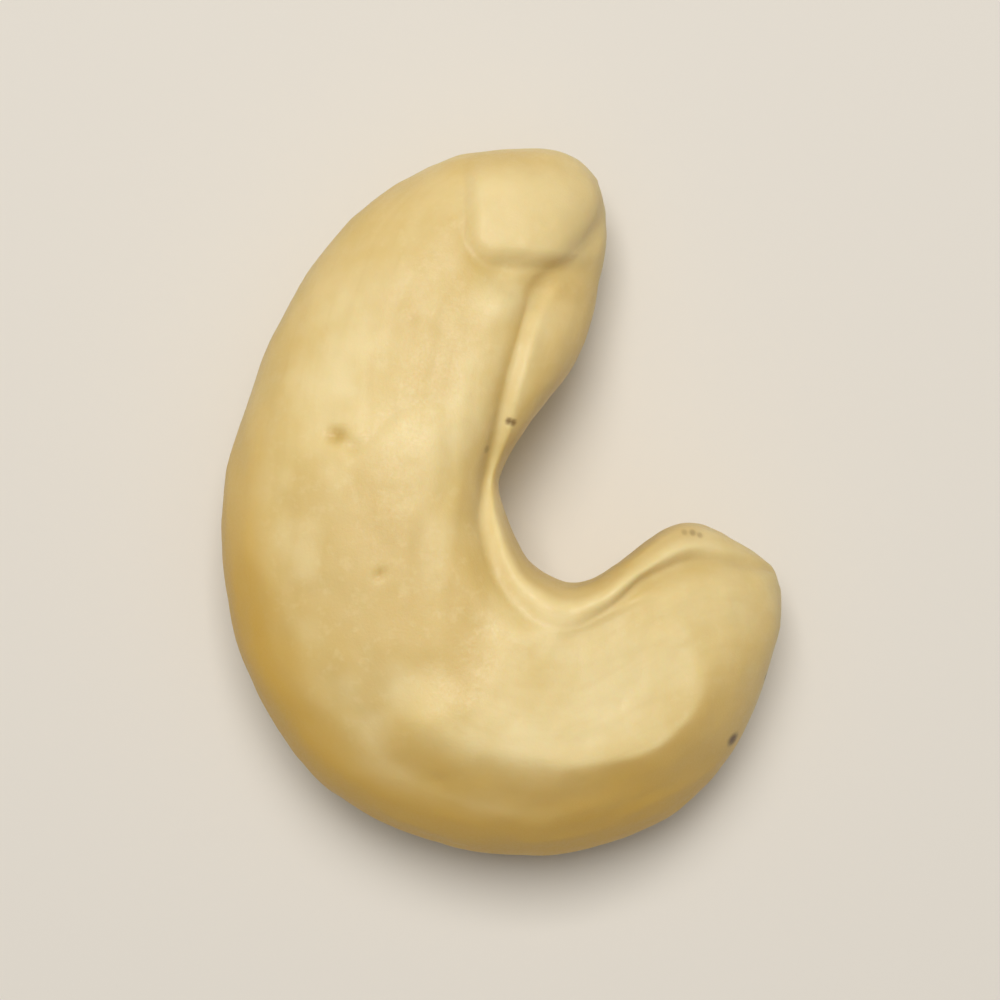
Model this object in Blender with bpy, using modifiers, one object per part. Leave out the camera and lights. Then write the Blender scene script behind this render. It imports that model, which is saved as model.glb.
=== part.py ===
"""Roasted cashew kernel, lying on its side.

Two half-moon cotyledons grown together in one hooked, kidney-like piece. The seam between them
runs all the way round, along the convex back and along the inside of the crook, where the lower
cotyledon stands a little proud of the upper one. The upper arm ends in the blunt nub of the
radicle. The belly has a small flat spot underneath, on which the kernel rests.

Lengths in this file are in millimetres and are turned into metres when the mesh is made.
X runs across the bend, Y along it and Z up. The origin is on the resting plane, under the middle
of the kernel's box.
"""

from collections import namedtuple

import bmesh
import bpy

MM = 0.001

# Driving dimensions of the whole kernel.
LENGTH = 24.7
WIDTH = 19.6
THICKNESS = 9.3

# The seam: how far above mid height it runs inside the crook, as a share of the half height,
# and how sharply the two cotyledons turn into it (1 is a hard crease). It fades at the tips.
INNER_SEAM_RISE = 0.24
SEAM_CREASE = 0.85
TIP_CREASE = 0.40

# How deep the resting plane cuts into the rounded underside, which makes the flat spots.
REST_CUT = 0.14

SUBDIVISION_LEVELS = 2
SMOOTH_ANGLE = 1.2

KERNEL_COLOUR = (0.78, 0.60, 0.30, 1.0)
KERNEL_ROUGHNESS = 0.48

# A station is one section across the kernel. outer and inner are the ends of the section line,
# on the convex back and inside the crook; lip is how far the lower cotyledon reaches past the
# upper one at the inner end; top and bottom are the heights of the section.
Station = namedtuple("Station", "outer inner lip top bottom")
STATIONS = (
    Station((3.05, 12.45), (3.90, 11.40), 0.00, 4.45, 2.85),
    Station((2.00, 12.95), (4.15, 10.30), 0.00, 5.50, 1.85),
    Station((-1.24, 12.74), (4.00, 8.54), 0.50, 6.80, 0.80),
    Station((-4.64, 10.98), (3.38, 6.14), 1.80, 7.90, 0.05),
    Station((-7.34, 7.88), (2.24, 4.06), 2.00, 8.70, -0.22),
    Station((-9.10, 4.12), (0.86, 2.22), 1.25, 9.25, 0.10),
    Station((-10.14, -0.02), (-0.24, 0.68), 0.65, 9.55, -0.10),
    Station((-10.02, -4.18), (0.08, -0.60), 0.85, 9.65, -0.26),
    Station((-8.54, -8.40), (0.82, -2.06), 1.05, 9.60, -0.10),
    Station((-5.54, -11.40), (1.84, -3.08), 1.15, 9.45, 0.14),
    Station((-1.74, -12.92), (2.80, -3.42), 1.05, 9.25, 0.12),
    Station((2.26, -13.16), (3.80, -2.68), 0.90, 8.95, -0.02),
    Station((5.98, -12.18), (4.96, -1.62), 1.10, 8.40, -0.22),
    Station((8.24, -9.78), (6.34, -0.66), 1.35, 7.60, 0.08),
    Station((9.70, -7.02), (7.66, -0.80), 1.20, 6.50, 0.80),
    Station((10.20, -4.85), (9.35, -2.05), 0.20, 5.40, 1.90),
    Station((10.22, -4.00), (9.92, -2.90), 0.00, 4.45, 2.80),
)

# The cage's section, from the inner seam over the top to the outer seam, as shares of the half
# width (from -1 at the inner end to 1 at the outer end) and of the half height.
UPPER_PROFILE = (
    (-0.97, 0.0),
    (-1.06, 0.40),
    (-0.66, 0.92),
    (0.0, 1.06),
    (0.66, 0.92),
    (1.05, 0.38),
    (0.99, 0.0),
)
SEAM_TO_SEAM = len(UPPER_PROFILE) - 1
RING_POINTS = 2 * SEAM_TO_SEAM


def clear_scene():
    for old in list(bpy.data.objects):
        bpy.data.objects.remove(old, do_unlink=True)


def lerp(start, end, share):
    return start + (end - start) * share


def section_point(station, across, up, above_seam):
    """The cage point at a share of the half width and of the half height of one section."""
    inner_x, inner_y = station.inner
    outer_x, outer_y = station.outer
    width = ((outer_x - inner_x) ** 2 + (outer_y - inner_y) ** 2) ** 0.5
    if above_seam and across < 0.0:
        across *= 1.0 - 2.0 * station.lip / width
    share = (across + 1.0) / 2.0
    seam_rise = INNER_SEAM_RISE * (1.0 - share) * (1.0 - abs(up))
    middle = (station.top + station.bottom) / 2.0
    half_height = (station.top - station.bottom) / 2.0
    height = middle + half_height * (up + seam_rise)
    return lerp(inner_x, outer_x, share), lerp(inner_y, outer_y, share), height


def section_ring(station):
    """One closed ring: inner seam, over the top to the outer seam, and back underneath."""
    over = [section_point(station, across, up, True) for across, up in UPPER_PROFILE]
    lower_profile = UPPER_PROFILE[SEAM_TO_SEAM - 1:0:-1]
    under = [section_point(station, across, -up, False) for across, up in lower_profile]
    return over + under


def cap_faces(ring):
    """Closes an end in strips across the ring, so that the seam crosses the tip on one edge."""
    faces = []
    for near in range(SEAM_TO_SEAM // 2):
        far = SEAM_TO_SEAM - near
        for side in (1, -1):
            corners = [ring[side * near], ring[side * (near + 1)], ring[side * (far - 1)], ring[side * far]]
            faces.append(list(dict.fromkeys(corners)))
    return faces


def kernel_cage():
    """The coarse closed cage of the kernel, with its seam edges creased."""
    cage = bmesh.new()
    crease = cage.edges.layers.float.new("crease_edge")
    rings = []
    for station in STATIONS:
        ring = [cage.verts.new((x * MM, y * MM, z * MM)) for x, y, z in section_ring(station)]
        rings.append(ring)
    for ring, following in zip(rings, rings[1:]):
        for index in range(RING_POINTS):
            after = (index + 1) % RING_POINTS
            cage.faces.new((ring[index], ring[after], following[after], following[index]))
    for ring in (rings[0], rings[-1]):
        for corners in cap_faces(ring):
            cage.faces.new(corners)
    last_span = len(rings) - 2
    for span, (ring, following) in enumerate(zip(rings, rings[1:])):
        at_tip = span in (0, last_span)
        for index in (0, SEAM_TO_SEAM):
            seam_edge = cage.edges.get((ring[index], following[index]))
            seam_edge[crease] = TIP_CREASE if at_tip else SEAM_CREASE
    bmesh.ops.recalc_face_normals(cage, faces=cage.faces)
    return cage


def roasted_kernel_material():
    material = bpy.data.materials.new("roasted_kernel")
    material.use_nodes = True
    shader = material.node_tree.nodes["Principled BSDF"]
    shader.inputs["Base Color"].default_value = KERNEL_COLOUR
    shader.inputs["Roughness"].default_value = KERNEL_ROUGHNESS
    shader.inputs["Metallic"].default_value = 0.0
    return material


def evaluated_box(thing):
    """The lowest and highest corner of an object's mesh with its modifiers applied."""
    bpy.context.view_layer.update()
    evaluated = thing.evaluated_get(bpy.context.evaluated_depsgraph_get())
    points = [vertex.co.copy() for vertex in evaluated.to_mesh().vertices]
    evaluated.to_mesh_clear()
    low = [min(point[axis] for point in points) for axis in range(3)]
    high = [max(point[axis] for point in points) for axis in range(3)]
    return low, high


def fit_to_size(thing):
    """Scales the mesh to the driving dimensions, over the origin and REST_CUT into the plane."""
    low, high = evaluated_box(thing)
    wanted = (WIDTH * MM, LENGTH * MM, (THICKNESS + REST_CUT) * MM)
    factors = [wanted[axis] / (high[axis] - low[axis]) for axis in range(3)]
    middle = ((low[0] + high[0]) / 2.0, (low[1] + high[1]) / 2.0, low[2])
    lowered = (0.0, 0.0, REST_CUT * MM)
    for vertex in thing.data.vertices:
        for axis in range(3):
            vertex.co[axis] = (vertex.co[axis] - middle[axis]) * factors[axis] - lowered[axis]


def make_resting_plane(collection):
    """The slab under the resting plane that flattens the underside."""
    depth = THICKNESS * MM
    bpy.ops.mesh.primitive_cube_add(size=1.0, location=(0.0, 0.0, -depth / 2.0))
    slab = bpy.context.active_object
    slab.name = "resting_plane_cutter"
    slab.scale = (2.0 * WIDTH * MM, 2.0 * LENGTH * MM, depth)
    slab.hide_render = True
    slab.display_type = "WIRE"
    for holder in list(slab.users_collection):
        holder.objects.unlink(slab)
    collection.objects.link(slab)
    return slab


def make_kernel(collection, cutters):
    mesh = bpy.data.meshes.new("cashew_kernel")
    cage = kernel_cage()
    cage.to_mesh(mesh)
    cage.free()
    kernel = bpy.data.objects.new("cashew_kernel", mesh)
    collection.objects.link(kernel)
    mesh.materials.append(roasted_kernel_material())
    soften = kernel.modifiers.new("soften", "SUBSURF")
    soften.levels = SUBDIVISION_LEVELS
    soften.render_levels = SUBDIVISION_LEVELS
    fit_to_size(kernel)
    mesh.shade_smooth()
    mesh.set_sharp_from_angle(angle=SMOOTH_ANGLE)
    flatten = kernel.modifiers.new("rest_flat", "BOOLEAN")
    flatten.operation = "DIFFERENCE"
    flatten.object = make_resting_plane(cutters)
    return kernel


def main():
    clear_scene()
    collection = bpy.data.collections.new("roasted_cashew_nut")
    cutters = bpy.data.collections.new("cutters")
    for group in (collection, cutters):
        bpy.context.scene.collection.children.link(group)
    make_kernel(collection, cutters)


main()
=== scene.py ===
"""The looks of the roasted cashew kernel.

One fine mesh stands for the kernel's plain solid. It is made in three steps. A smooth spline
surface is drawn through sections across the kernel. Its relief is then modelled: the seam round
the two cotyledons with its lip inside the crook, the radicle nub, the flattened face of the lower
arm, creases and pits. Last comes a procedural finish, waxy cream with toasted patches, with
painted shade on the flanks, in the grooves and in some areas, and painted highlight on the ridge
and in other areas.

Lengths are in millimetres where nothing else is said. Places are measured from the middle of the
kernel's box in plan, and from the resting plane: X to the right, Y up the picture and Z towards
the camera. A band is the pair of values between which a share grows from nothing to full.
"""

import math
from collections import namedtuple

import bpy
import numpy as np
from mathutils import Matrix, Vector


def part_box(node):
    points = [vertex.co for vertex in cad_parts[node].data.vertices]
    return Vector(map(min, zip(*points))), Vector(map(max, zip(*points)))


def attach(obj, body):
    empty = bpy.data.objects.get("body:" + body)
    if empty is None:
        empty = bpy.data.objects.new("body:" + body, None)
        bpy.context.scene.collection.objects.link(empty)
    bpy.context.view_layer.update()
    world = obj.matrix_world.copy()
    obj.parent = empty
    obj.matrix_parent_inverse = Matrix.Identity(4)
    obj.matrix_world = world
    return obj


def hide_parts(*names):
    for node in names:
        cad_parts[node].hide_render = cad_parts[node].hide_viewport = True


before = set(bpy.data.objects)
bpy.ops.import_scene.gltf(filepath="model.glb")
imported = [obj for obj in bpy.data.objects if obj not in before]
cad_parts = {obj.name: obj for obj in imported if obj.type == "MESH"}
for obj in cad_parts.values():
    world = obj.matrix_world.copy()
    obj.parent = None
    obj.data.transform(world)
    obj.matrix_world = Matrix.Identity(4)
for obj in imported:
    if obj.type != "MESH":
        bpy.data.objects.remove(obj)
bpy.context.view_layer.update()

MM = 0.001
NODE = "cashew_kernel"

# How far the rounded underside is pressed flat where it rests, and how softly.
REST_FLAT = 0.14
REST_SOFTNESS = 0.05

# Grid of the fine mesh: rows along the kernel and points round each section, which together
# stay under 200,000 triangles. SEAM_CROWDING is how much denser the points lie at the seams, in
# strips as wide as SEAM_STRIPS says for the inner and the outer one, and POLE_CROWDING is how
# much closer together the rows lie at the poles.
ROWS = 372
ROUND = 264
SEAM_CROWDING = 0.66
SEAM_STRIPS = (1.2, 1.0)
POLE_CROWDING = 0.035

# Lengths over the smooth surface are measured along the lines at these control points, and round
# some sections: the first and the last one's places along the cage, and how many.
MEASURED_LINES = (3.0, 12.0, 19.0)
LINE_SAMPLES = 4001
MEASURED_SECTIONS = (4.0, 16.0, 9)
SECTION_SAMPLES = 1121

# A station is one section across the kernel. outer and inner are the ends of the section line.
# lip is how far the lower cotyledon reaches past the seam inside the crook. seam and wall are
# the heights of the inner seam and of the innermost point, as shares of the thickness. edge says
# how square the lip's upper edge is, and front and back how square the section's top is on
# either side of the crest: 1 is an ellipse, and less is squarer. brow is the steepness of the
# upper cotyledon's edge at the inner seam: 1 is upright, 2 a bevel. crest moves the highest line
# towards the back (positive) or the crook (negative), as a share of the half width. top and
# bottom are heights.
Station = namedtuple("Station", "outer inner lip seam wall edge crest front brow back top bottom")
STATIONS = (
    Station((3.05, 12.45), (3.80, 11.40), 0.00, 0.50, 0.50, 0.80, 0.00, 0.85, 0.85, 0.85, 4.45, 2.85),
    Station((2.00, 12.95), (3.95, 10.30), 0.20, 0.58, 0.50, 0.90, 0.00, 0.80, 0.95, 0.85, 5.60, 1.85),
    Station((-1.00, 12.80), (3.75, 8.70), 1.00, 0.76, 0.54, 1.00, 0.00, 0.70, 1.15, 0.85, 7.00, 0.80),
    Station((-3.00, 12.10), (3.62, 7.35), 1.90, 0.85, 0.56, 1.05, 0.00, 0.50, 1.40, 0.85, 7.50, 0.40),
    Station((-5.00, 10.80), (3.30, 5.95), 2.60, 0.92, 0.60, 1.00, 0.00, 0.42, 1.65, 0.85, 8.05, 0.05),
    Station((-7.34, 7.88), (2.24, 4.06), 2.05, 0.94, 0.64, 0.90, -0.10, 0.40, 1.70, 0.85, 8.75, -0.22),
    Station((-9.10, 4.12), (0.86, 2.22), 0.95, 0.86, 0.60, 0.80, -0.20, 0.65, 1.30, 0.85, 9.25, 0.10),
    Station((-10.14, -0.02), (-0.08, 0.62), 0.40, 0.75, 0.56, 0.70, -0.25, 0.78, 1.15, 0.85, 9.50, -0.10),
    Station((-10.02, -4.18), (0.46, -0.52), 1.20, 0.89, 0.65, 0.84, -0.25, 0.50, 1.60, 0.88, 9.60, -0.26),
    Station((-8.54, -8.40), (0.96, -1.98), 1.42, 0.935, 0.71, 0.84, -0.20, 0.42, 1.80, 0.92, 9.55, -0.10),
    Station((-5.54, -11.40), (1.84, -2.76), 1.70, 0.96, 0.74, 0.76, -0.10, 0.40, 1.90, 1.08, 9.45, 0.14),
    Station((-1.74, -12.92), (2.80, -3.04), 1.90, 0.97, 0.75, 0.74, 0.02, 0.40, 1.90, 1.16, 9.30, 0.12),
    Station((2.26, -13.16), (3.84, -2.60), 1.55, 0.965, 0.74, 0.68, 0.10, 0.40, 1.80, 1.18, 9.05, -0.02),
    Station((5.98, -12.18), (4.96, -1.62), 1.20, 0.962, 0.76, 0.66, 0.12, 0.42, 1.70, 1.15, 8.55, -0.22),
    Station((8.24, -9.78), (6.34, -0.66), 1.55, 0.960, 0.78, 0.62, 0.10, 0.46, 1.70, 1.06, 7.75, 0.08),
    Station((9.70, -7.02), (7.66, -0.92), 1.30, 0.94, 0.72, 0.62, 0.08, 0.60, 1.40, 0.92, 7.05, 0.80),
    Station((10.25, -5.00), (9.52, -2.12), 0.50, 0.78, 0.56, 0.70, 0.04, 0.80, 0.90, 0.80, 6.05, 1.90),
    Station((10.32, -4.30), (10.15, -2.60), 0.15, 0.55, 0.50, 0.70, 0.00, 0.85, 0.85, 0.85, 4.45, 2.80),
)
LAST_STATION = len(STATIONS) - 1.0

# How far the poles stand out from the end sections.
TIP_BULGE = 0.12

# The quarters of a section: the angles of their control points from the seam or from the
# innermost point, in degrees. UNDER_SQUARENESS is as front and back above, OUTER_SEAM is the
# height of the outer seam as a share of the thickness, and SHELF is how much of the lip stays
# level next to the seam where its edge is square.
INNER_TOP = (0, 7, 18, 34, 52, 72)
OUTER_TOP = (90, 70, 50, 33, 18, 7, 0)
OUTER_UNDER = (7, 20, 38, 58, 78)
INNER_UNDER = (78, 55, 35, 16)
WALL = (0, 20, 40, 58, 74, 90)
UNDER_SQUARENESS = 0.86
OUTER_SEAM = 0.50
SHELF = 0.60

# The control point of the outer seam; the inner seam's is the first of the section.
OUTER_SEAM_COLUMN = len(INNER_TOP) + len(OUTER_TOP) - 1

# How near to a tip, in stations, the points are evened out round their sections.
EVENED_BAND = (1.8, 0.4)


def smoothstep(low, high, value):
    share = np.clip((value - low) / (high - low), 0.0, 1.0)
    return share * share * (3.0 - 2.0 * share)


def swell(distance, width):
    """A smooth hump of height 1 that has faded at about twice its width."""
    return np.exp(-((distance / width) ** 2))


def cusp(distance, width, rounding=0.3):
    """A hump of height 1 with a tight crest, like the crack between two rounded edges."""
    blunt = rounding * width
    return np.exp(-(np.sqrt(distance**2 + blunt**2) - blunt) / width)


def at_least(least, share):
    """The share, from 0 to 1, drawn together so that it runs from the least value to 1."""
    return least + (1.0 - least) * share


# The smooth base


def quarter(angles, squareness, middle, reach, level, rise, brow=None):
    """Control points of one quarter of a section, between its seam and its crest."""
    points = []
    for degrees in angles:
        angle = math.radians(degrees)
        across = middle + reach * abs(math.cos(angle)) ** squareness
        points.append((across, level + rise * math.sin(angle) ** (brow or squareness)))
    return points


def section_ring(station):
    """Control points round one section: inner seam, over the top, outer seam, and back below."""
    inner = np.array(station.inner)
    outer = np.array(station.outer)
    half = float(np.linalg.norm(outer - inner)) / 2.0
    along = (outer - inner) / (2.0 * half)
    middle = (outer + inner) / 2.0
    top, bottom = station.top, station.bottom
    seam = bottom + station.seam * (top - bottom)
    outer_seam = bottom + OUTER_SEAM * (top - bottom)
    wall = bottom + station.wall * (top - bottom)
    crest = station.crest * half
    groove = -half + station.lip
    brink = groove - SHELF * max(0.0, 1.0 - station.edge) * station.lip

    points = quarter(INNER_TOP, station.front, crest, groove - crest, seam, top - seam, station.brow)
    points += quarter(OUTER_TOP, station.back, crest, half - crest, outer_seam, top - outer_seam)
    points += quarter(OUTER_UNDER, UNDER_SQUARENESS, 0.0, half, outer_seam, bottom - outer_seam)
    points += quarter(INNER_UNDER, UNDER_SQUARENESS, 0.0, -half, wall, bottom - wall)
    points += quarter(WALL, station.edge, brink, -half - brink, wall, seam - wall)
    return np.array([(*(middle + along * across), height) for across, height in points])


def basis(fraction):
    """The four weights of a uniform cubic B-spline."""
    f = fraction
    return (
        (1.0 - f) ** 3 / 6.0,
        (3.0 * f**3 - 6.0 * f**2 + 4.0) / 6.0,
        (-3.0 * f**3 + 3.0 * f**2 + 3.0 * f + 1.0) / 6.0,
        f**3 / 6.0,
    )


def closed_cage(rings):
    """Adds a pole and a mirrored ring beyond each end, so that the spline closes smoothly."""
    ends = []
    for ring, inward in ((rings[0], rings[1]), (rings[-1], rings[-2])):
        centre = (ring.min(axis=0) + ring.max(axis=0)) / 2.0
        outwards = centre - (inward.min(axis=0) + inward.max(axis=0)) / 2.0
        pole = centre + outwards / np.linalg.norm(outwards) * TIP_BULGE
        ends.append([2.0 * centre - ring, np.broadcast_to(pole, ring.shape)])
    return np.array(ends[0] + list(rings) + ends[1][::-1])


def spline_surface(cage, along, around):
    """Points of the surface: along runs from pole to pole, around is in control points."""
    first = np.clip(np.floor(along).astype(int), 0, len(cage) - 4)
    rows = sum(w[:, None, None] * cage[first + k] for k, w in enumerate(basis(along - first)))
    cell = np.floor(around).astype(int)
    columns = enumerate(basis(around - cell))
    count = cage.shape[1]
    return sum(w[None, :, None] * rows[:, (cell + k - 1) % count] for k, w in columns)


def crowded(lines, seams):
    """Places round the section, evenly spaced over its surface but closer at the seams."""
    steps = np.linalg.norm(np.diff(lines, axis=1), axis=2).mean(axis=0)
    length = np.concatenate(([0.0], np.cumsum(steps)))
    place = np.linspace(0.0, 1.0, len(length))
    density = np.ones_like(length)
    for seam, width in seams:
        gap = np.abs(length - np.interp(seam, place, length))
        gap = np.minimum(gap, length[-1] - gap)
        density += swell(gap, width) * SEAM_CROWDING / (1.0 - SEAM_CROWDING)
    grown = np.concatenate(([0.0], np.cumsum((density[1:] + density[:-1]) / 2.0 * steps)))
    return np.interp(np.arange(ROUND) / ROUND * grown[-1], grown, place)


def row_places(cage):
    """Places along the kernel, evenly spaced over its surface and closer together at the poles."""
    fine = np.linspace(0.0, len(cage) - 3, LINE_SAMPLES)
    lines = spline_surface(cage, fine, np.array(MEASURED_LINES))
    steps = np.linalg.norm(np.diff(lines, axis=0), axis=2).mean(axis=1)
    length = np.concatenate(([0.0], np.cumsum(steps)))
    share = np.linspace(0.0, 1.0, ROWS)
    share_of_length = share - POLE_CROWDING * np.sin(2.0 * math.pi * share)
    return np.interp(share_of_length * length[-1], length, fine)


def evened(points, share, seam_columns):
    """The points slid round their sections to even spacing from seam to seam, by a share a row."""
    closed = np.concatenate((points, points[:, :1]), axis=1)
    column = np.arange(closed.shape[1], dtype=float)
    steps = np.linalg.norm(np.diff(closed, axis=1), axis=2)
    result = points.copy()
    for row in np.flatnonzero(share > 0.0):
        length = np.concatenate(([0.0], np.cumsum(steps[row])))
        even = np.interp(column, seam_columns, length[seam_columns])
        place = column + share[row] * (np.interp(even, length, column) - column)
        for axis in range(3):
            result[row, :, axis] = np.interp(place[:-1], column, closed[row, :, axis])
    return result


def fit_to_box(points):
    """Moves and scales the base to the plain solid's box, REST_FLAT into the resting plane."""
    low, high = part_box(NODE)
    low, high = np.array(low) / MM, np.array(high) / MM
    low[2] -= REST_FLAT
    was_low = points.reshape(-1, 3).min(axis=0)
    was_high = points.reshape(-1, 3).max(axis=0)
    return (points - was_low) / (was_high - was_low) * (high - low) + low


def base_grid():
    """The smooth base as a grid of points, the stations of its rows, and the outer seam's column."""
    cage = closed_cage([section_ring(station) for station in STATIONS])
    count = cage.shape[1]
    along = row_places(cage)
    sections = np.linspace(*MEASURED_SECTIONS)
    lines = spline_surface(cage, sections, np.linspace(0.0, count, SECTION_SAMPLES))
    around = crowded(lines, zip((0.0, OUTER_SEAM_COLUMN / count), SEAM_STRIPS)) * count
    points = fit_to_box(spline_surface(cage, along, around))
    # At the tips the control points crowd together at the inner seam, so the grid is evened out.
    outer_start = int(np.argmin(np.abs(around - OUTER_SEAM_COLUMN)))
    from_tip = np.minimum(along - 1.0, LAST_STATION + 1.0 - along)
    points = evened(points, smoothstep(*EVENED_BAND, from_tip), [0, outer_start, ROUND])
    return points, along - 1.0, outer_start


# Noise and paths for the relief

# Multipliers that scramble a lattice cell and a seed into one number, and the bits kept of it.
HASH_X, HASH_Y, HASH_Z = 73856093, 19349663, 83492791
HASH_SEED = 2654435761
HASH_MIX = 1274126177
HASH_BITS = 0xFFFFFF

# LATTICE_START keeps the lattice's cells positive, and NOISE_GAIN brings the noise to about 1.
LATTICE_START = 1000.0
NOISE_GAIN = 1.6

# Stand-ins for a distance not measured yet, and for a length or a rise of nothing.
FAR_AWAY = 1e9
NO_RISE = 1e-9
NO_LENGTH = 1e-12


def lattice_value(cells, seed):
    """A repeatable pseudo-random number from -1 to 1 for each lattice cell."""
    x, y, z = (cells[..., axis].astype(np.int64) for axis in range(3))
    mixed = (x * HASH_X) ^ (y * HASH_Y) ^ (z * HASH_Z) ^ (seed * HASH_SEED)
    mixed = (mixed ^ (mixed >> 13)) * HASH_MIX
    mixed = (mixed ^ (mixed >> 16)) & HASH_BITS
    return mixed / float(HASH_BITS // 2) - 1.0


def noise(points, size, seed):
    """Smooth noise from about -1 to 1, with features of the given size."""
    scaled = points / size + LATTICE_START
    cell = np.floor(scaled)
    part = scaled - cell
    part = part * part * part * (part * (part * 6.0 - 15.0) + 10.0)
    total = 0.0
    for corner in np.ndindex(2, 2, 2):
        weight = 1.0
        for axis, side in enumerate(corner):
            weight = weight * (part[..., axis] if side else 1.0 - part[..., axis])
        total = total + weight * lattice_value(cell + np.array(corner), seed)
    return total * NOISE_GAIN


def layers(points, table):
    """The sum of layers of noise, each with its own height, size and seed."""
    return sum(height * noise(points, size, seed) for height, size, seed in table)


def smooth_path(points, steps=12):
    """A Catmull-Rom curve through the points."""
    p = np.array(points, float)
    p = np.vstack((2 * p[0] - p[1], p, 2 * p[-1] - p[-2]))
    t = (np.arange(steps) / steps)[:, None]
    curve = []
    for a, b, c, d in zip(p, p[1:], p[2:], p[3:]):
        bend = 2 * a - 5 * b + 4 * c - d
        turn = 3 * b - a - 3 * c + d
        curve.append(b + 0.5 * t * (c - a + t * (bend + t * turn)))
    return np.vstack(curve + [p[-2:-1]])


def path_distance(plan, path):
    """Distance in plan from a line of points, and the place along it of the nearest point."""
    best = np.full(plan.shape[:-1], FAR_AWAY)
    place = np.zeros(plan.shape[:-1])
    for index in range(len(path) - 1):
        start, step = path[index], path[index + 1] - path[index]
        away = plan - start
        share = np.clip((away @ step) / (step @ step), 0.0, 1.0)
        gap = np.linalg.norm(away - share[..., None] * step, axis=-1)
        nearer = gap < best
        best = np.where(nearer, gap, best)
        place = np.where(nearer, (index + share) / (len(path) - 1), place)
    return best, place


def outline_distance(plan, outline):
    """Distance in plan from a smooth closed outline, negative inside it."""
    path = smooth_path(outline + outline[:1])
    inside = np.zeros(plan.shape[:-1], bool)
    for start, end in zip(path, path[1:]):
        level = plan[..., 1]
        beside = (start[1] > level) != (end[1] > level)
        rise = end[1] - start[1] or NO_RISE
        crossing = start[0] + (level - start[1]) / rise * (end[0] - start[0])
        inside ^= beside & (plan[..., 0] < crossing)
    gap, _ = path_distance(plan, path)
    return np.where(inside, -gap, gap)


def stroke(plan, points, width, taper=0.2):
    """The share of a crease or ridge drawn along a path in plan, fading at both ends."""
    gap, place = path_distance(plan, smooth_path(points))
    fade = smoothstep(0.0, taper, place) * smoothstep(0.0, taper, 1.0 - place)
    return swell(gap, width) * fade


def rounded_box(plan, middle, half, corner):
    """Signed distance in plan from a rectangle with rounded corners."""
    reach = np.abs(plan - np.array(middle)) - (np.array(half) - corner)
    outside = np.linalg.norm(np.maximum(reach, 0.0), axis=-1)
    inside = np.minimum(reach.max(axis=-1), 0.0)
    return outside + inside - corner


# The relief

# The stations over which the relief fades out at either tip.
TIP_STATIONS = (-1.0, 0.6)

# Where tight bends of the base are smoothed out: on the inside of the upper arm, between these
# stations and this far round from the inner seam, and lightly all along the inner seam.
UPPER_ARM_STATIONS = (4.2, 3.0)
UPPER_ARM_WIDTH = 2.2
UPPER_ARM_ROUNDS = 240
ALONG_SEAM_WIDTH = 0.6
ALONG_SEAM_ROUNDS = 14

# Broad unevenness: the height, feature size and seed of each layer of noise, and the share of it
# that is left at the tips.
BROAD = ((0.10, 5.2, 3), (0.05, 2.6, 5), (0.018, 1.3, 7))
BROAD_AT_TIPS = 0.35

# The flattened face of the lower arm: its outline in plan, how far it is raised at its top and at
# its bottom before it is cut off, how softly it is cut, and the bands of height and of distance
# from the outline over which it is raised and cut. The cut goes through the points within
# FACET_EDGE of the outline.
FACET = (
    (-2.6, -7.4),
    (-0.9, -6.7),
    (0.4, -4.9),
    (3.0, -4.5),
    (6.2, -3.1),
    (7.4, -4.0),
    (6.75, -6.0),
    (5.6, -7.4),
    (4.3, -8.2),
    (1.5, -8.6),
    (-0.9, -8.15),
)
FACET_RISE = (0.14, 0.46)
FACET_SOFTNESS = 0.05
FACET_HEIGHTS = (3.5, 5.0)
FACET_RAISED = (2.0, -0.2)
FACET_CUT = (0.7, 0.2)
FACET_EDGE = 0.15

# Faint creases: the path in plan, the half width and the depth.
FAINT_CREASES = (
    (((-6.1, 2.5), (-4.8, 1.9), (-3.8, 2.9), (-2.5, 3.35), (-1.2, 3.3)), 0.20, 0.035),
    (((-2.0, 6.9), (-2.2, 5.3), (-2.5, 3.6)), 0.16, 0.030),
    (((-4.4, 8.6), (-5.4, 6.6), (-6.0, 4.4)), 0.30, 0.030),
    (((-7.0, 0.6), (-7.3, -1.8), (-6.9, -4.4)), 0.35, 0.030),
)

# The radicle nub: the middle, half size and corner radius of its outline in plan, how far it
# stands up, and the bands over which it fades out at its edge, to the right and to the top.
NUB_MIDDLE = (2.40, 10.52)
NUB_HALF = (3.50, 2.27)
NUB_CORNER = 0.90
NUB_RISE = 0.26
NUB_EDGE = (0.35, -0.40)
NUB_RIGHT = (4.2, 1.6)
NUB_TOP = (12.0, 10.5)

# The furrow round the nub: its depth, distance from the outline and half width, and the band
# over which it fades out to the right.
FURROW_DEPTH = 0.05
FURROW_PLACE = 0.25
FURROW_WIDTH = 0.20
FURROW_RIGHT = (2.5, 0.5)

# The hollow below the nub, and the small lobe in which the upper cotyledon ends there.
NUB_HOLLOW = ((-1.60, 8.15), (-0.30, 7.85), (1.00, 7.35), (2.20, 6.95), (3.60, 6.60))
HOLLOW_DEPTH = 0.30
HOLLOW_WIDTH = 0.72
HOLLOW_TAPER = 0.45
END_LOBE = (-0.10, 6.70)
LOBE_RISE = 0.12
LOBE_WIDTH = 0.6

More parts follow.
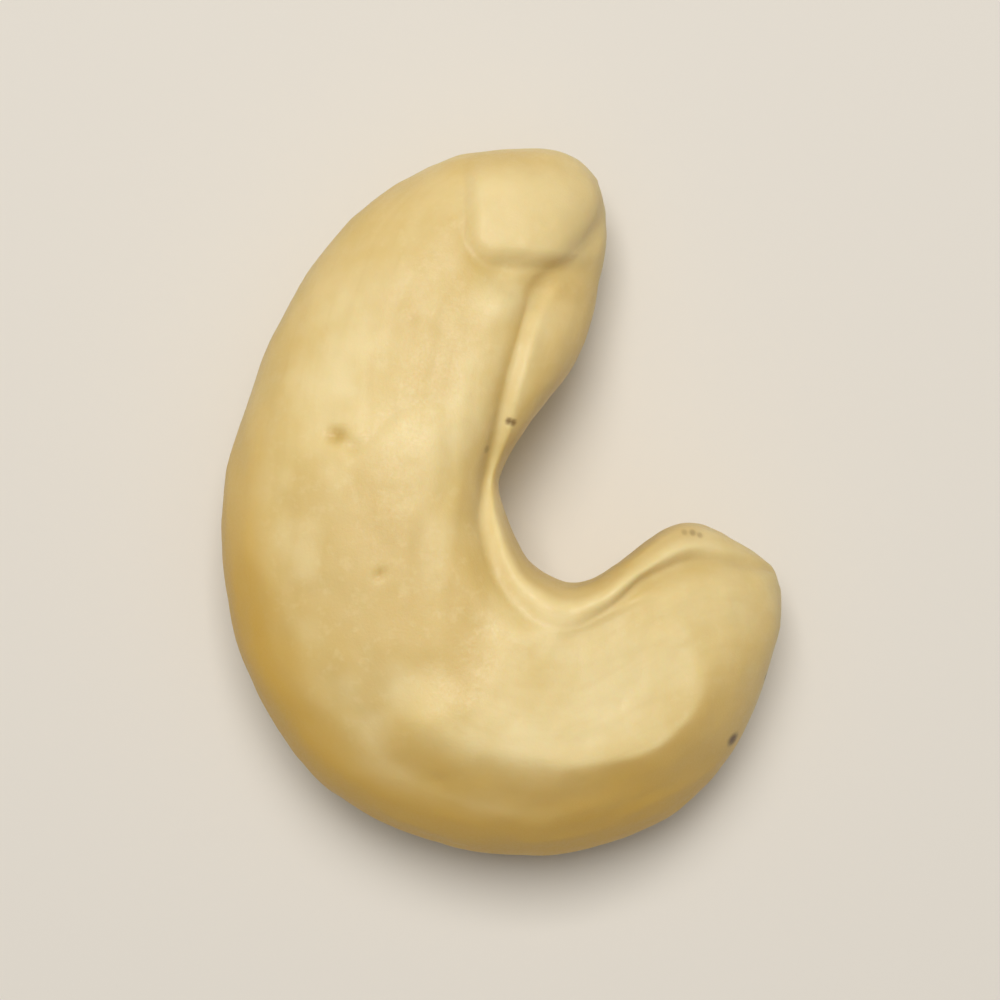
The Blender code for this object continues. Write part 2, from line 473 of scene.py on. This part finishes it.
# The inner seam, station by station: the depth of its groove and its half width, the height of
# the ridge along its lower side and how far the crest of that ridge is from the seam, and the
# depth of the dip beyond the ridge. The groove rises more slowly on the upper cotyledon's side,
# over its half width times FAR_SIDE. The ridge's width, and the dip's width and place, are given
# as shares of the ridge's place.
Seam = namedtuple("Seam", "depth width ridge place dip")
SEAMS = (
    Seam(0.00, 0.20, 0.00, 0.30, 0.00),
    Seam(0.00, 0.20, 0.00, 0.30, 0.00),
    Seam(0.00, 0.25, 0.00, 0.40, 0.00),
    Seam(0.00, 0.32, 0.00, 0.45, 0.00),
    Seam(0.04, 0.34, 0.05, 0.50, 0.00),
    Seam(0.07, 0.30, 0.07, 0.46, 0.00),
    Seam(0.04, 0.28, 0.04, 0.40, 0.00),
    Seam(0.00, 0.35, 0.00, 0.40, 0.00),
    Seam(0.06, 0.36, 0.06, 0.50, 0.00),
    Seam(0.08, 0.38, 0.09, 0.60, 0.00),
    Seam(0.04, 0.40, 0.06, 0.76, 0.00),
    Seam(0.02, 0.38, 0.04, 0.80, 0.00),
    Seam(0.10, 0.28, 0.07, 0.52, 0.00),
    Seam(0.20, 0.24, 0.11, 0.40, 0.02),
    Seam(0.22, 0.25, 0.12, 0.46, 0.03),
    Seam(0.13, 0.26, 0.06, 0.46, 0.02),
    Seam(0.04, 0.22, 0.02, 0.34, 0.00),
    Seam(0.00, 0.20, 0.00, 0.30, 0.00),
)
FAR_SIDE = 3.0
RIDGE_WIDTH = 0.5
DIP_WIDTH = 0.4
DIP_PLACE = 2.0
SEAM_WANDER = ((0.05, 1.6, 11),)

# The outer seam: its depth, half width and the share of its depth left at the tips, and the low
# swelling on either side of it.
OUTER_SEAM_DEPTH = 0.10
OUTER_SEAM_WIDTH = 0.15
OUTER_SEAM_AT_TIPS = 0.3
BANK_RISE = 0.03
BANK_PLACE = 0.55
BANK_WIDTH = 0.35

# Fine unevenness of the skin. The wrinkles run lengthwise, so they are drawn out along the
# kernel, and they lie only in some areas. WRINKLES and WRINKLED_AREAS give size and seed.
WRINKLE_HEIGHT = 0.015
WRINKLE_STRETCH = 0.55
WRINKLES = (0.55, 21)
WRINKLED_AREAS = (3.0, 23)
WRINKLED_BAND = (-0.3, 0.6)
DIMPLE_HEIGHT = 0.012
DIMPLES = ((1.0, 0.75, 31), (0.5, 0.38, 33))

# Pits: the place in plan, the radius, the depth, and how long they are for their width. They lie
# in the upper side only, above PIT_HEIGHT.
PITS = (
    ((-5.68, 2.24), 0.27, 0.20, 1.2),
    ((-5.10, 1.84), 0.22, 0.09, 1.2),
    ((-4.13, -2.42), 0.15, 0.15, 1.0),
    ((0.23, 2.71), 0.10, 0.05, 1.3),
    ((-3.10, 6.20), 0.14, 0.05, 1.0),
    ((-6.60, -3.10), 0.15, 0.04, 1.0),
    ((3.90, -6.80), 0.13, 0.04, 1.3),
    ((-2.20, -9.40), 0.16, 0.05, 1.4),
)
PIT_HEIGHT = 4.0

# The band of the normal's upward part over which a surface counts as facing up.
FACING_UP = (0.10, 0.55)

# The mean distance between two stations, along the middle of the kernel.
STATION_GAP = 2.2


def grid_normals(points):
    """Outward normals of the grid, with rows along the first axis and a closed second axis."""
    along = np.gradient(points, axis=0)
    around = np.roll(points, -1, axis=1) - np.roll(points, 1, axis=1)
    normals = np.cross(along, around)
    length = np.linalg.norm(normals, axis=2, keepdims=True)
    normals = normals / np.maximum(length, NO_LENGTH)
    for end, inward in ((0, 1), (-1, -2)):
        pole = normals[inward].mean(axis=0)
        normals[end] = pole / np.linalg.norm(pole)
    outwards = points - points.mean(axis=1, keepdims=True)
    if np.sum(normals * outwards) < 0.0:
        normals = -normals
    return normals


def moved(points, distance):
    """The points moved outwards along the surface's normals."""
    return points + grid_normals(points) * distance[..., None]


def facing_up(points):
    return smoothstep(*FACING_UP, grid_normals(points)[..., 2])


def section_length(points, start):
    """Distance along each section from one column of the grid."""
    rolled = np.roll(points, -start, axis=1)
    steps = np.linalg.norm(np.diff(rolled, axis=1), axis=2)
    forward = np.concatenate((np.zeros((len(points), 1)), np.cumsum(steps, axis=1)), axis=1)
    whole = forward[:, -1:] + np.linalg.norm(rolled[:, :1] - rolled[:, -1:], axis=2)
    signed = np.where(forward < whole / 2.0, forward, forward - whole)
    return np.roll(signed, start, axis=1)


def eased(points, share, rounds, step=0.5):
    """The points with their tight bends smoothed out, as far as the share says."""
    share = share[..., None]
    for _ in range(rounds):
        around = (np.roll(points, 1, axis=1) + np.roll(points, -1, axis=1)) / 2.0
        along = points.copy()
        along[1:-1] = (points[2:] + points[:-2]) / 2.0
        points = points + step * share * ((around + along) / 2.0 - points)
    return points


def with_facet(points):
    """Raises the lower arm's face and cuts it off along a plane through its edge."""
    plan = points[..., :2]
    gap = outline_distance(plan, FACET)
    above = smoothstep(*FACET_HEIGHTS, points[..., 2])
    ends = [y for _, y in FACET]
    lower = smoothstep(max(ends), min(ends), plan[..., 1])
    top_rise, bottom_rise = FACET_RISE
    raised = top_rise + (bottom_rise - top_rise) * lower
    height = points[..., 2] + raised * smoothstep(*FACET_RAISED, gap) * above
    edge = (above > 0.5) & (np.abs(gap) < FACET_EDGE)
    terms = np.column_stack((plan[edge], np.ones(np.sum(edge))))
    slope_x, slope_y, level = np.linalg.lstsq(terms, height[edge], rcond=None)[0]
    excess = height - (slope_x * plan[..., 0] + slope_y * plan[..., 1] + level)
    cut = FACET_SOFTNESS * np.logaddexp(0.0, excess / FACET_SOFTNESS) * smoothstep(*FACET_CUT, gap)
    points = points.copy()
    points[..., 2] = height - cut * above
    return points


def with_creases(points):
    """The faint creases in the upper side."""
    upward = facing_up(points)
    relief = np.zeros(points.shape[:-1])
    for path, width, depth in FAINT_CREASES:
        relief -= depth * stroke(points[..., :2], path, width)
    return moved(points, relief * upward)


def with_nub(points):
    """The radicle nub, a blunt block that stands a little proud of the upper tip, and its mask."""
    plan = points[..., :2]
    upward = facing_up(points)
    gap = rounded_box(plan, NUB_MIDDLE, NUB_HALF, NUB_CORNER)
    nub = smoothstep(*NUB_EDGE, gap)
    nub *= smoothstep(*NUB_RIGHT, plan[..., 0]) * smoothstep(*NUB_TOP, plan[..., 1])
    relief = NUB_RISE * nub * upward
    furrow = FURROW_DEPTH * swell(gap - FURROW_PLACE, FURROW_WIDTH)
    relief -= furrow * upward * smoothstep(*FURROW_RIGHT, plan[..., 0])
    relief -= HOLLOW_DEPTH * stroke(plan, NUB_HOLLOW, HOLLOW_WIDTH, HOLLOW_TAPER) * upward
    from_lobe = np.linalg.norm(plan - np.array(END_LOBE), axis=-1)
    relief += LOBE_RISE * swell(from_lobe, LOBE_WIDTH) * upward
    return moved(points, relief), nub


def with_seams(points, station, from_inner, from_outer, nub, tips):
    """The seam all round, with rounded edges on both sides of it, and its masks of painted shade,
    highlight and toast.
    """
    wander = layers(points, SEAM_WANDER)
    depth, width, ridge, place, dip = (
        np.interp(station, np.arange(len(SEAMS)), values) for values in zip(*SEAMS)
    )
    gap = from_inner + wander
    crack = swell(gap, np.where(gap < 0.0, width, FAR_SIDE * width)) * (1.0 - nub)
    bead = swell(gap + place, RIDGE_WIDTH * place)
    outer_crack = cusp(from_outer + wander, OUTER_SEAM_WIDTH)
    relief = -depth * crack
    relief -= OUTER_SEAM_DEPTH * outer_crack * at_least(OUTER_SEAM_AT_TIPS, tips)
    relief += ridge * bead
    relief -= dip * swell(gap + DIP_PLACE * place, DIP_WIDTH * place)
    relief += BANK_RISE * swell(np.abs(from_outer) - BANK_PLACE, BANK_WIDTH)
    masks = {
        # Painted shade in the seam grooves, darkest where they are deepest.
        "crack": np.clip(depth / GROOVE_SHADE_DEPTH * crack + OUTER_SEAM_SHADE * outer_crack, 0.0, 1.0) * tips,
        # A painted highlight on the ridge, stronger the higher the ridge stands.
        "bead": BEAD_HIGHLIGHT * bead * smoothstep(*RIDGE_HIGHLIGHT_HEIGHTS, ridge),
        # Toasting with painted shade on the lip beyond its ridge.
        "rim": toasted_shaded_rim(gap, place, station),
    }
    return moved(points, relief), masks


def with_skin(points, station, from_inner, tips):
    """Fine unevenness of the skin: lengthwise wrinkles, dimples and pits."""
    stretched = np.stack((from_inner, station * WRINKLE_STRETCH, np.zeros_like(from_inner)), axis=-1)
    wrinkled = smoothstep(*WRINKLED_BAND, noise(points, *WRINKLED_AREAS))
    wrinkles = noise(stretched, *WRINKLES) * wrinkled
    fine = WRINKLE_HEIGHT * wrinkles + DIMPLE_HEIGHT * layers(points, DIMPLES)
    points = moved(points, fine * tips)
    return moved(points, pits(points))


def pits(points):
    """Small dents in the upper side."""
    dent = np.zeros(points.shape[:-1])
    above = points[..., 2] > PIT_HEIGHT
    for (x, y), radius, depth, length in PITS:
        gap = np.hypot((points[..., 0] - x) / length, points[..., 1] - y)
        dent -= depth * swell(gap, radius) * above
    return dent


def pressed_flat(points):
    """The points with the underside pressed flat on the resting plane."""
    height = points[..., 2]
    points = points.copy()
    points[..., 2] = 0.5 * (height + np.sqrt(height**2 + REST_SOFTNESS**2))
    return points


# Masks for the colours

# The flanks, toasted and darkened with painted shade where they are steep: the band of the
# normal's upward part over which they begin, the share of toasting and painted shade on the
# inside of the bend, and the band over which the outside begins, of Y plus OUTSIDE_LEAN times X.
# The lip is spared, near the inner seam and from its first stations on, and so is the upper tip.
# Below mid height the toasting and painted shade are weaker and patchy.
STEEP = (0.99, 0.64)
INSIDE_TOAST_AND_SHADE = 0.34
OUTSIDE = (0.0, -9.0)
OUTSIDE_LEAN = 0.5
LIP_STATIONS = (7.0, 8.0)
LIP_REACH = (3.0, 1.2)
LIP_SPARED = 0.75
UPPER_TIP_STATIONS = (-1.5, 2.5)
UNDERSIDE_HEIGHTS = (5.5, 3.0)
UNDERSIDE_SPARED = 0.45
UNDERSIDE_PATCHES = ((0.30, 2.4, 51),)

# The rim of the lip beyond its ridge, toasted and darkened with painted shade: bands of the
# distance from the ridge, where it begins, and from the seam, where it ends, and bands of stations
# at its start and at its end.
RIM_BEGINS = (0.05, 0.55)
RIM_ENDS = (3.2, 2.0)
RIM_FIRST_STATIONS = (7.2, 8.2)
RIM_LAST_STATIONS = (15.2, 14.0)

# The depth at which the painted shade in the inner groove is darkest, the outer seam's share of
# that, how strong the painted highlight on the ridge is, and the band of heights over which the
# ridge gets it.
GROOVE_SHADE_DEPTH = 0.20
OUTER_SEAM_SHADE = 0.5
BEAD_HIGHLIGHT = 0.5
RIDGE_HIGHLIGHT_HEIGHTS = (0.02, 0.08)

# Dark specks: their places in plan, their radii and how dark they are. SPECK_EDGE is the band of
# their edge, in radii. SPECK_SQUEEZE under 1 draws them out in height, down a steep flank, and
# SPECK_PREFERS_TOP picks the higher one of two points of the surface at the same place in plan.
SPECKS = (
    ((0.15, 2.73), 0.12, 0.80),
    ((0.30, 2.71), 0.12, 0.80),
    ((-0.58, 1.78), 0.13, 0.35),
    ((7.95, -8.22), 0.25, 1.00),
    ((9.25, -6.15), 0.18, 0.65),
    ((6.16, -1.02), 0.11, 0.30),
    ((6.44, -1.04), 0.12, 0.42),
    ((6.72, -1.12), 0.11, 0.34),
)
SPECK_EDGE = (1.4, 0.4)
SPECK_SQUEEZE = 0.5
SPECK_PREFERS_TOP = 0.03

# Warmer areas of the upper side, partly a toasted tone and partly painted shade on slopes turned
# from the light, in the hollow below the nub and in two pits, and paler areas, partly a lighter tone
# and partly painted highlight on faces turned to the light and on the small end lobe: the middle in
# plan, how far they reach across and along, and how strong they are. Their edges are ragged by a
# little noise.
TAN_AND_SHADE_AREAS = (
    ((-4.6, -2.8), (3.8, 4.4), 0.75),
    ((-1.5, -3.3), (1.1, 3.3), 0.72),
    ((-2.2, 7.4), (3.2, 3.2), 0.45),
    ((1.3, 7.6), (1.6, 0.8), 0.40),
    ((-5.62, 2.20), (0.55, 0.40), 1.20),
    ((-4.13, -2.42), (0.20, 0.22), 1.10),
)
PALE_AND_HIGHLIGHT_AREAS = (
    ((-2.9, 1.4), (1.5, 1.9), 0.30),
    ((-0.1, 6.7), (1.0, 0.8), 0.80),
    ((3.4, -6.0), (3.6, 2.0), 0.35),
    ((7.2, -3.4), (1.9, 1.4), 0.45),
)
AREA_EDGE = (1.40, 0.30)
AREA_HEIGHTS = (3.0, 5.0)
AREA_RAGGEDNESS = ((0.24, 1.1, 41),)


def toasted_shaded_flanks(points, station, from_inner):
    """How much toasting and painted shade the flanks get, most of all round the outside of the bend."""
    steep = smoothstep(*STEEP, grid_normals(points)[..., 2])
    outside = smoothstep(*OUTSIDE, points[..., 1] + OUTSIDE_LEAN * points[..., 0])
    at_lip = smoothstep(*LIP_STATIONS, station) * smoothstep(*LIP_REACH, np.abs(from_inner))
    flank_toast_and_shade = steep * at_least(INSIDE_TOAST_AND_SHADE, outside) * (1.0 - LIP_SPARED * at_lip)
    flank_toast_and_shade *= smoothstep(*UPPER_TIP_STATIONS, station)
    below = smoothstep(*UNDERSIDE_HEIGHTS, points[..., 2])
    spared = np.clip(UNDERSIDE_SPARED + layers(points, UNDERSIDE_PATCHES), 0.0, 1.0)
    return flank_toast_and_shade * (1.0 - below * spared)


def toasted_shaded_rim(gap, place, station):
    """How much toasting and painted shade the rim of the lip gets, beyond its ridge."""
    rim = smoothstep(*RIM_BEGINS, -gap - place) * smoothstep(*RIM_ENDS, -gap)
    return rim * (smoothstep(*RIM_FIRST_STATIONS, station) * smoothstep(*RIM_LAST_STATIONS, station))


def specks(points):
    """The share of dark spots on the upper side."""
    share = np.zeros(points.shape[:-1])
    for place, radius, strength in SPECKS:
        beside = np.linalg.norm(points[..., :2] - np.array(place), axis=-1)
        nearest = np.argmin(beside - SPECK_PREFERS_TOP * points[..., 2])
        away = (points - points.reshape(-1, 3)[nearest]) * (1.0, 1.0, SPECK_SQUEEZE)
        gap = np.linalg.norm(away, axis=-1)
        outermost, innermost = (edge * radius for edge in SPECK_EDGE)
        share = np.maximum(share, strength * smoothstep(outermost, innermost, gap))
    return share


def areas(points, table):
    """The share of soft-edged, slightly ragged areas of colour on the upper side, partly painted shade
    and highlight.
    """
    ragged = layers(points, AREA_RAGGEDNESS)
    share = np.zeros(points.shape[:-1])
    for middle, reach, strength in table:
        gap = np.linalg.norm((points[..., :2] - np.array(middle)) / np.array(reach), axis=-1)
        share = np.maximum(share, strength * smoothstep(*AREA_EDGE, gap + ragged))
    return share * smoothstep(*AREA_HEIGHTS, points[..., 2])


# The kernel's mesh


def shape_kernel():
    """The grid of points of the finished kernel and its masks for colour."""
    points, stations, outer_start = base_grid()
    from_inner = section_length(points, 0)
    from_outer = section_length(points, outer_start)
    station = stations[:, None] * np.ones_like(from_inner)
    tips = smoothstep(*TIP_STATIONS, station) * smoothstep(*TIP_STATIONS, LAST_STATION - station)

    upper_arm = smoothstep(*UPPER_ARM_STATIONS, station) * swell(from_inner, UPPER_ARM_WIDTH)
    points = eased(points, upper_arm, UPPER_ARM_ROUNDS)
    points = eased(points, swell(from_inner, ALONG_SEAM_WIDTH), ALONG_SEAM_ROUNDS)
    points = moved(points, layers(points, BROAD) * at_least(BROAD_AT_TIPS, tips))
    points = with_creases(with_facet(points))
    # Toasting and painted shade on the steep flanks.
    flank_toast_and_shade = toasted_shaded_flanks(points, station, from_inner)
    points, nub = with_nub(points)
    points, seam_masks = with_seams(points, station, from_inner, from_outer, nub, tips)
    points = pressed_flat(with_skin(points, station, from_inner, tips))
    # The flanks, the rim and the grooves carry painted shade, the flanks and the rim with toasting; the
    # warmer areas carry painted shade and the paler areas and the ridge painted highlight, each partly a
    # real tone.
    masks = {
        "crack": seam_masks["crack"],
        "rim": seam_masks["rim"],
        "nub": nub,
        "flank_toast_and_shade": flank_toast_and_shade,
        "speck": specks(points),
        "tan_and_shade": areas(points, TAN_AND_SHADE_AREAS),
        "pale_and_highlight": np.maximum(areas(points, PALE_AND_HIGHLIGHT_AREAS), seam_masks["bead"]),
        "around": from_inner * MM,
        "along": station * STATION_GAP * MM,
    }
    return points, masks


def grid_faces(rows, count):
    """Faces of a grid without its end rows, and of the fans that close it at its two poles."""
    first_pole = (rows - 2) * count
    last_pole = first_pole + 1
    last_row = (rows - 3) * count
    faces = []
    for row in range(rows - 3):
        for column in range(count):
            after = (column + 1) % count
            a, b = row * count + column, row * count + after
            faces.append((a, b, b + count, a + count))
    for column in range(count):
        after = (column + 1) % count
        faces.append((first_pole, after, column))
        faces.append((last_pole, last_row + column, last_row + after))
    return faces


def kernel_mesh():
    """The closed mesh of the kernel, with its masks as attributes of the points."""
    points, masks = shape_kernel()
    rows, count = points.shape[:2]
    poles = np.array([points[0].mean(axis=0), points[-1].mean(axis=0)])
    coordinates = np.vstack((points[1:-1].reshape(-1, 3), poles)) * MM
    mesh = bpy.data.meshes.new("kernel")
    mesh.from_pydata(coordinates.tolist(), [], grid_faces(rows, count))
    for name, values in masks.items():
        flat = np.concatenate((values[1:-1].reshape(-1), [values[0].mean(), values[-1].mean()]))
        layer = mesh.attributes.new(name, "FLOAT", "POINT")
        layer.data.foreach_set("value", flat.astype(np.float32))
    mesh.update()
    if volume(mesh) < 0.0:
        mesh.flip_normals()
    mesh.shade_smooth()
    return mesh


def volume(mesh):
    """The mesh's volume, negative where its faces point inwards."""
    mesh.calc_loop_triangles()
    corners = np.zeros(len(mesh.loop_triangles) * 3, np.int32)
    mesh.loop_triangles.foreach_get("vertices", corners)
    places = np.zeros(len(mesh.vertices) * 3)
    mesh.vertices.foreach_get("co", places)
    triangle = places.reshape(-1, 3)[corners.reshape(-1, 3)]
    return np.einsum("ij,ij->", triangle[:, 0], np.cross(triangle[:, 1], triangle[:, 2])) / 6.0


# The finish

CREAM = (0.765, 0.600, 0.265, 1.0)
IVORY = (0.840, 0.700, 0.375, 1.0)
GOLDEN = (0.620, 0.425, 0.125, 1.0)
# Biscuit paints toasting together with shade on the flanks.
BISCUIT_SHADE = (0.68, 0.42, 0.07, 1.0)
# Toasted paints toasting together with shade on the rim of the lip, and shade in the seam grooves.
TOAST_SHADE = (0.50, 0.32, 0.08, 1.0)
SPECK = (0.16, 0.08, 0.02, 1.0)

# Mottling: a noise of this size, detail, roughness and distortion lays a tint on the colour
# below it, where the noise is above low and with full strength from high on.
Mottling = namedtuple("Mottling", "size detail roughness distortion low high strength tint")
CLOUDS = Mottling(3.2, 4.0, 0.5, 0.0, 0.35, 0.68, 1.00, IVORY)
GOLDEN_PATCHES = Mottling(4.5, 3.0, 0.5, 0.6, 0.46, 0.80, 0.32, GOLDEN)
STREAKS = Mottling(0.42, 3.0, 0.5, 0.0, 0.42, 0.78, 0.13, GOLDEN)
FRECKLES = Mottling(0.45, 2.0, 0.6, 0.0, 0.52, 0.72, 0.22, IVORY)

# How much the streaks are drawn out along the kernel: their length is their width over this.
STREAK_SQUEEZE = 0.22

# Tints that follow a mask: its name, its strength and the colour, in the order of painting.
# The warmer areas are partly painted shade, and the paler areas and the ridge partly painted highlight.
AREA_TINTS = (
    ("tan_and_shade", 0.80, GOLDEN),
    ("pale_and_highlight", 1.00, IVORY),
)
# The tints on the flanks, the rim and the grooves paint shade; on the flanks and the rim they paint
# toasting as well.
RELIEF_TINTS = (
    ("flank_toast_and_shade", 0.95, BISCUIT_SHADE),
    ("nub", 0.50, IVORY),
    ("rim", 0.42, TOAST_SHADE),
    ("crack", 0.32, TOAST_SHADE),
    ("speck", 1.00, SPECK),
)

# The waxy surface: its fine grain, and the roughness that the grain goes between.
GRAIN_SIZE = 0.10
GRAIN_DETAIL = 4.0
GRAIN_ROUGHNESS = 0.6
GRAIN_BAND = (0.3, 0.7)
GRAIN_BUMP_STRENGTH = 0.35
GRAIN_BUMP_DEPTH = 0.02
ROUGHNESS = (0.42, 0.58)
IOR = 1.46
SUBSURFACE_WEIGHT = 0.35
SUBSURFACE_RADIUS = (1.0, 0.62, 0.28)
SUBSURFACE_DEPTH = 0.9


class Nodes:
    """Short calls for building a material's node tree."""

    def __init__(self, material):
        material.use_nodes = True
        self.tree = material.node_tree
        self.shader = self.tree.nodes["Principled BSDF"]
        self.place = self.add("ShaderNodeTexCoord").outputs["Object"]

    def add(self, kind, **settings):
        node = self.tree.nodes.new(kind)
        for name, value in settings.items():
            setattr(node, name, value)
        return node

    def feed(self, socket, value):
        if isinstance(value, bpy.types.NodeSocket):
            self.tree.links.new(value, socket)
        else:
            socket.default_value = value

    def noise(self, size_mm, detail, roughness, distortion=0.0, at=None):
        node = self.add("ShaderNodeTexNoise")
        self.feed(node.inputs["Vector"], self.place if at is None else at)
        node.inputs["Scale"].default_value = 1.0 / (size_mm * MM)
        node.inputs["Detail"].default_value = detail
        node.inputs["Roughness"].default_value = roughness
        node.inputs["Distortion"].default_value = distortion
        return node.outputs["Fac"]

    def ramp(self, value, low, high, start, end):
        node = self.add("ShaderNodeMapRange", interpolation_type="SMOOTHSTEP")
        self.feed(node.inputs["Value"], value)
        for name, number in (("From Min", low), ("From Max", high), ("To Min", start), ("To Max", end)):
            node.inputs[name].default_value = number
        return node.outputs["Result"]

    def times(self, value, factor):
        node = self.add("ShaderNodeMath", operation="MULTIPLY")
        self.feed(node.inputs[0], value)
        self.feed(node.inputs[1], factor)
        return node.outputs["Value"]

    def blend(self, share, below, above):
        node = self.add("ShaderNodeMix", data_type="RGBA")
        self.feed(node.inputs["Factor"], share)
        self.feed(node.inputs["A"], below)
        self.feed(node.inputs["B"], above)
        return node.outputs["Result"]

    def attribute(self, name):
        return self.add("ShaderNodeAttribute", attribute_name=name).outputs["Fac"]

    def grown_place(self):
        """Coordinates that follow the kernel's growth: round the section and, drawn out, along it."""
        node = self.add("ShaderNodeCombineXYZ")
        self.feed(node.inputs["X"], self.attribute("around"))
        self.feed(node.inputs["Y"], self.times(self.attribute("along"), STREAK_SQUEEZE))
        return node.outputs["Vector"]

    def mottled(self, colour, layer, at=None):
        """The colour with one layer of mottling over it."""
        pattern = self.noise(layer.size, layer.detail, layer.roughness, layer.distortion, at)
        share = self.ramp(pattern, layer.low, layer.high, 0.0, layer.strength)
        return self.blend(share, colour, layer.tint)

    def tinted(self, colour, tints):
        """The colour with a tint over it for each mask."""
        for name, strength, tint in tints:
            colour = self.blend(self.times(self.attribute(name), strength), colour, tint)
        return colour


def kernel_material():
    material = bpy.data.materials.new("roasted_kernel")
    n = Nodes(material)
    colour = n.mottled(CREAM, CLOUDS)
    colour = n.mottled(colour, GOLDEN_PATCHES)
    colour = n.tinted(colour, AREA_TINTS)
    colour = n.mottled(colour, STREAKS, at=n.grown_place())
    colour = n.mottled(colour, FRECKLES)
    colour = n.tinted(colour, RELIEF_TINTS)
    n.feed(n.shader.inputs["Base Color"], colour)

    grain = n.noise(GRAIN_SIZE, GRAIN_DETAIL, GRAIN_ROUGHNESS)
    n.feed(n.shader.inputs["Roughness"], n.ramp(grain, *GRAIN_BAND, *ROUGHNESS))
    n.shader.inputs["IOR"].default_value = IOR
    n.shader.inputs["Subsurface Weight"].default_value = SUBSURFACE_WEIGHT
    n.shader.inputs["Subsurface Radius"].default_value = SUBSURFACE_RADIUS
    n.shader.inputs["Subsurface Scale"].default_value = SUBSURFACE_DEPTH * MM
    bump = n.add("ShaderNodeBump")
    bump.inputs["Strength"].default_value = GRAIN_BUMP_STRENGTH
    bump.inputs["Distance"].default_value = GRAIN_BUMP_DEPTH * MM
    n.feed(bump.inputs["Height"], grain)
    n.feed(n.shader.inputs["Normal"], bump.outputs["Normal"])
    return material


def make_kernel():
    kernel = bpy.data.objects.new("roasted_cashew_kernel", kernel_mesh())
    bpy.context.scene.collection.objects.link(kernel)
    kernel.data.materials.append(kernel_material())
    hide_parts(NODE)
    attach(kernel, "root")


# Floor, light and camera

# The floor's half side is in metres.
FLOOR_HALF = 0.6
FLOOR_COLOUR = (0.74, 0.71, 0.66, 1.0)
FLOOR_ROUGHNESS = 0.75

# Square lights: name, place and side in metres, power in watts, and colour.
LIGHTS = (
    ("key", (-0.015, 0.12, 0.37), 0.18, 1.24, (1.0, 0.97, 0.92)),
    ("overhead", (0.0, 0.0, 0.45), 0.60, 0.25, (1.0, 0.98, 0.95)),
)
STUDIO_COLOUR = (1.0, 0.96, 0.90, 1.0)
STUDIO_STRENGTH = 0.17

# The frame shows a square of 35 mm at the kernel's mid height, seen from straight above.
FRAMED = 35.0
SENSOR = 36.0
LENS = 100.0
LOOK_AT = (-0.14, 0.06)
LOOK_HEIGHT = 4.65
NEAREST_SEEN = 1.0


def make_floor():
    mesh = bpy.data.meshes.new("floor")
    h = FLOOR_HALF
    mesh.from_pydata([(-h, -h, 0.0), (h, -h, 0.0), (h, h, 0.0), (-h, h, 0.0)], [], [(0, 1, 2, 3)])
    floor = bpy.data.objects.new("floor", mesh)
    bpy.context.scene.collection.objects.link(floor)
    material = bpy.data.materials.new("floor")
    material.use_nodes = True
    shader = material.node_tree.nodes["Principled BSDF"]
    shader.inputs["Base Color"].default_value = FLOOR_COLOUR
    shader.inputs["Roughness"].default_value = FLOOR_ROUGHNESS
    mesh.materials.append(material)


def area_light(name, place, side, power_watts, colour):
    """A square soft light that points at the middle of the kernel."""
    light = bpy.data.lights.new(name, "AREA")
    light.size = side
    light.energy = power_watts
    light.color = colour
    lamp = bpy.data.objects.new(name, light)
    bpy.context.scene.collection.objects.link(lamp)
    lamp.location = place
    lamp.rotation_mode = "QUATERNION"
    lamp.rotation_quaternion = (-Vector(place)).to_track_quat("-Z", "Y")


def make_light():
    for light in LIGHTS:
        area_light(*light)
    world = bpy.data.worlds.new("studio")
    world.use_nodes = True
    background = world.node_tree.nodes["Background"]
    background.inputs["Color"].default_value = STUDIO_COLOUR
    background.inputs["Strength"].default_value = STUDIO_STRENGTH
    bpy.context.scene.world = world


def make_camera():
    data = bpy.data.cameras.new("camera")
    data.sensor_width = SENSOR
    data.lens = LENS
    data.clip_start = NEAREST_SEEN * MM
    camera = bpy.data.objects.new("camera", data)
    bpy.context.scene.collection.objects.link(camera)
    distance = FRAMED / SENSOR * LENS
    camera.location = (LOOK_AT[0] * MM, LOOK_AT[1] * MM, (LOOK_HEIGHT + distance) * MM)
    bpy.context.scene.camera = camera


make_camera()
make_floor()
make_light()
make_kernel()

bpy.context.scene.view_settings.view_transform = "Standard"
